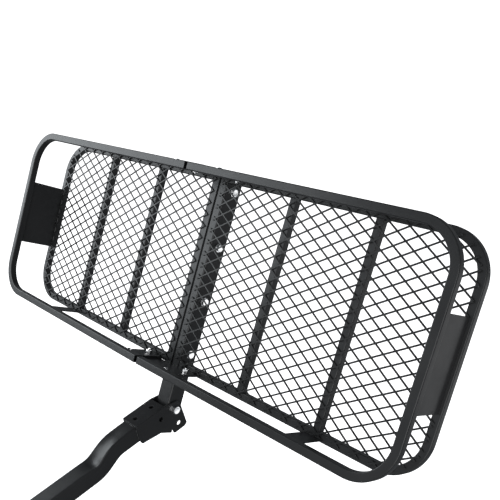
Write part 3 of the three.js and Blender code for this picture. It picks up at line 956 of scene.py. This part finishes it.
def half_welds(side):
    """Beads of one half: struts, end plate and cross bars to the frame, loop ends to the saddle."""
    bm = bmesh.new()
    name = SIDE_NAME[side]
    for end in (-1, 1):
        low, high = local_box(f"strut_{name}_{END_NAME[end]}", HALF[side])
        inner = high.y if end < 0 else low.y
        for z, lift in ((low.z, 0.0004), (high.z, -0.0004)):
            weld_bead(bm, (low.x + 0.002, inner, z + lift), (high.x - 0.002, inner, z + lift), SHEET_WELD)
    low, high = local_box(f"end_plate_{name}", HALF[side])
    inner = low.x if side > 0 else high.x
    for z, lift in ((low.z, 0.0004), (high.z, -0.0004)):
        for share in (0.0, 0.4, 0.8):
            y = low.y + 0.004 + share * (high.y - low.y)
            weld_bead(bm, (inner, y, z + lift), (inner, y + 0.032, z + lift), SHEET_WELD)
    for number in (1, 2):
        low, high = local_box(f"cross_bar_{name}_{number}", HALF[side])
        for y in (low.y, high.y):
            for x in (low.x, high.x):
                weld_bead(bm, (x, y, low.z + 0.003), (x, y, high.z - 0.003), 0.0022)
    low, high = local_box(f"floor_loop_{name}", HALF[side])
    seam = min(abs(low.x), abs(high.x)) * side
    for y in (low.y, low.y + TUBE, high.y - TUBE, high.y):
        inset = 0.0008 if y in (low.y, high.y - TUBE) else -0.0008
        weld_bead(bm, (seam, y + inset, low.z + 0.002), (seam, y + inset, high.z - 0.003), 0.0021)
    add_piece(f"frame_welds_{name}", bm, HALF[side], COAT_WELD, BASKET_BODY, sharp=math.radians(60))


def clevis_welds():
    """Beads along the clevis's front edge, which join its plates and its web to the shank."""
    bm = bmesh.new()
    low, _ = local_box("clevis", CLEVIS)
    shank_top = 0.0266
    for x in (-1, 1):
        edge = x * (SQUARE_TUBE / 2 - SQUARE_ROUND * 0.2)
        weld_bead(bm, (x * 0.0256, low.y - 0.0004, -0.018), (x * 0.0256, low.y - 0.0004, 0.020), 0.0022)
        weld_bead(bm, (edge * 0.7, low.y - 0.0004, shank_top), (0, low.y - 0.0004, shank_top), 0.0024)
    add_piece("clevis_welds", bm, CLEVIS, COAT_WELD, ROOT_BODY, sharp=math.radians(60))


# ---------------------------------------------------------------- build the object

for side in (-1, 1):
    frame_loop("floor_loop", side)
    frame_loop("upper_rail", side)
    for number in (1, 2):
        cross_bar(side, number)
    mesh_panel(side)
    saddle_angle(side)
    flat_sheet(f"end_plate_{SIDE_NAME[side]}", HALF[side])
    for end in (-1, 1):
        flat_sheet(f"strut_{SIDE_NAME[side]}_{END_NAME[end]}", HALF[side])
        flat_sheet(f"splice_tab_{SIDE_NAME[side]}_{END_NAME[end]}", BASKET)
    half_welds(side)
for end in (-1, 1):
    splice_bracket(end)
centre_tube()
shank()
clevis()
clevis_welds()
fasteners()

# ---------------------------------------------------------------- stage, light and camera


def stage_material(name, glow):
    """Plain white that reads as a lit studio surface."""
    material, shader = new_material(name)
    shader.inputs["Base Color"].default_value = (0.9, 0.9, 0.9, 1)
    shader.inputs["Roughness"].default_value = 0.9
    shader.inputs["Emission Color"].default_value = (1, 1, 1, 1)
    shader.inputs["Emission Strength"].default_value = glow
    return material


def studio():
    low, _ = cad_box
    bm = bmesh.new()
    bmesh.ops.create_circle(bm, cap_ends=True, segments=64, radius=30)
    floor_mesh = bpy.data.meshes.new("floor")
    bm.to_mesh(floor_mesh)
    bm.free()
    floor = bpy.data.objects.new("floor", floor_mesh)
    floor.location.z = low.z - 0.75
    bm = bmesh.new()
    bmesh.ops.create_uvsphere(bm, u_segments=48, v_segments=24, radius=29)
    dome_mesh = bpy.data.meshes.new("backdrop")
    bm.to_mesh(dome_mesh)
    bm.free()
    dome = bpy.data.objects.new("backdrop", dome_mesh)
    for item in (floor, dome):
        item.data.materials.append(stage_material(item.name, 1.2))
        bpy.context.scene.collection.objects.link(item)
        item.visible_diffuse = False
        item.visible_glossy = False
        item.visible_shadow = False


def softbox(name, place, target, size, power):
    light = bpy.data.lights.new(name, "AREA")
    light.shape = "RECTANGLE"
    light.size, light.size_y = size
    light.energy = power
    item = bpy.data.objects.new(name, light)
    item.location = place
    item.rotation_euler = (Vector(target) - Vector(place)).to_track_quat("-Z", "Y").to_euler()
    bpy.context.scene.collection.objects.link(item)
    return item


def lighting():
    world = bpy.data.worlds.new("studio")
    world.use_nodes = True
    world.node_tree.nodes["Background"].inputs["Color"].default_value = (0.90, 0.95, 1.0, 1)
    world.node_tree.nodes["Background"].inputs["Strength"].default_value = 0.16
    bpy.context.scene.world = world
    middle = (Vector(cad_box[0]) + Vector(cad_box[1])) / 2
    left = softbox("left_softbox", middle + Vector((-2.9, -1.1, 1.5)), middle, (2.7, 2.4), 60)
    left.data.color = (0.92, 0.97, 1.0)
    softbox("front_softbox", middle + Vector((-0.9, -2.6, 1.3)), middle, (3.0, 2.2), 4)
    softbox("camera_softbox", middle + Vector((2.0, -2.1, 0.95)), middle, (3.0, 2.6), 45)
    softbox("low_softbox", middle + Vector((1.25, 2.35, -1.45)), middle, (1.5, 1.3), 3.0)
    low = softbox("fastener_low_softbox", middle + Vector((2.2, 1.5, -1.5)), middle, (1.7, 1.7), 13)
    front = softbox("fastener_front_softbox", middle + Vector((1.3, -2.3, 1.15)), middle, (1.8, 1.8), 50)
    side = softbox("fastener_side_softbox", middle + Vector((-2.1, -1.8, 1.1)), middle, (3.2, 3.2), 260)
    back = softbox("fastener_back_softbox", middle + Vector((-2.2, 1.9, -0.75)), middle, (2.4, 2.4), 90)
    groups = {name: bpy.data.collections.new(name) for name in ("coated", "zinc", "zinc_splice")}
    for piece in bpy.context.scene.objects:
        if piece.type == "MESH" and ZINC in piece.data.materials[:]:
            groups["zinc"].objects.link(piece)
            if piece.name.startswith("splice"):
                groups["zinc_splice"].objects.link(piece)
        elif piece.type == "MESH":
            groups["coated"].objects.link(piece)
    linked = (
        (low, "zinc"), (front, "zinc"), (side, "zinc_splice"), (back, "zinc_splice"), (left, "coated"),
    )
    for light, group in linked:
        light.light_linking.receiver_collection = groups[group]
    for light in (front, side, back):
        light.data.use_shadow = False


def camera():
    lens = bpy.data.cameras.new("camera")
    lens.lens = 47.09
    lens.sensor_width = 36
    lens.shift_y = 0.1423
    lens.clip_end = 100
    eye = bpy.data.objects.new("camera", lens)
    eye.location = (1.2703, -0.2213, 1.2031)
    eye.rotation_euler = [math.radians(a) for a in (56.548, 9.031, 44.549)]
    bpy.context.scene.collection.objects.link(eye)
    bpy.context.scene.camera = eye


studio()
lighting()
camera()
bpy.context.scene.view_settings.view_transform = "Standard"
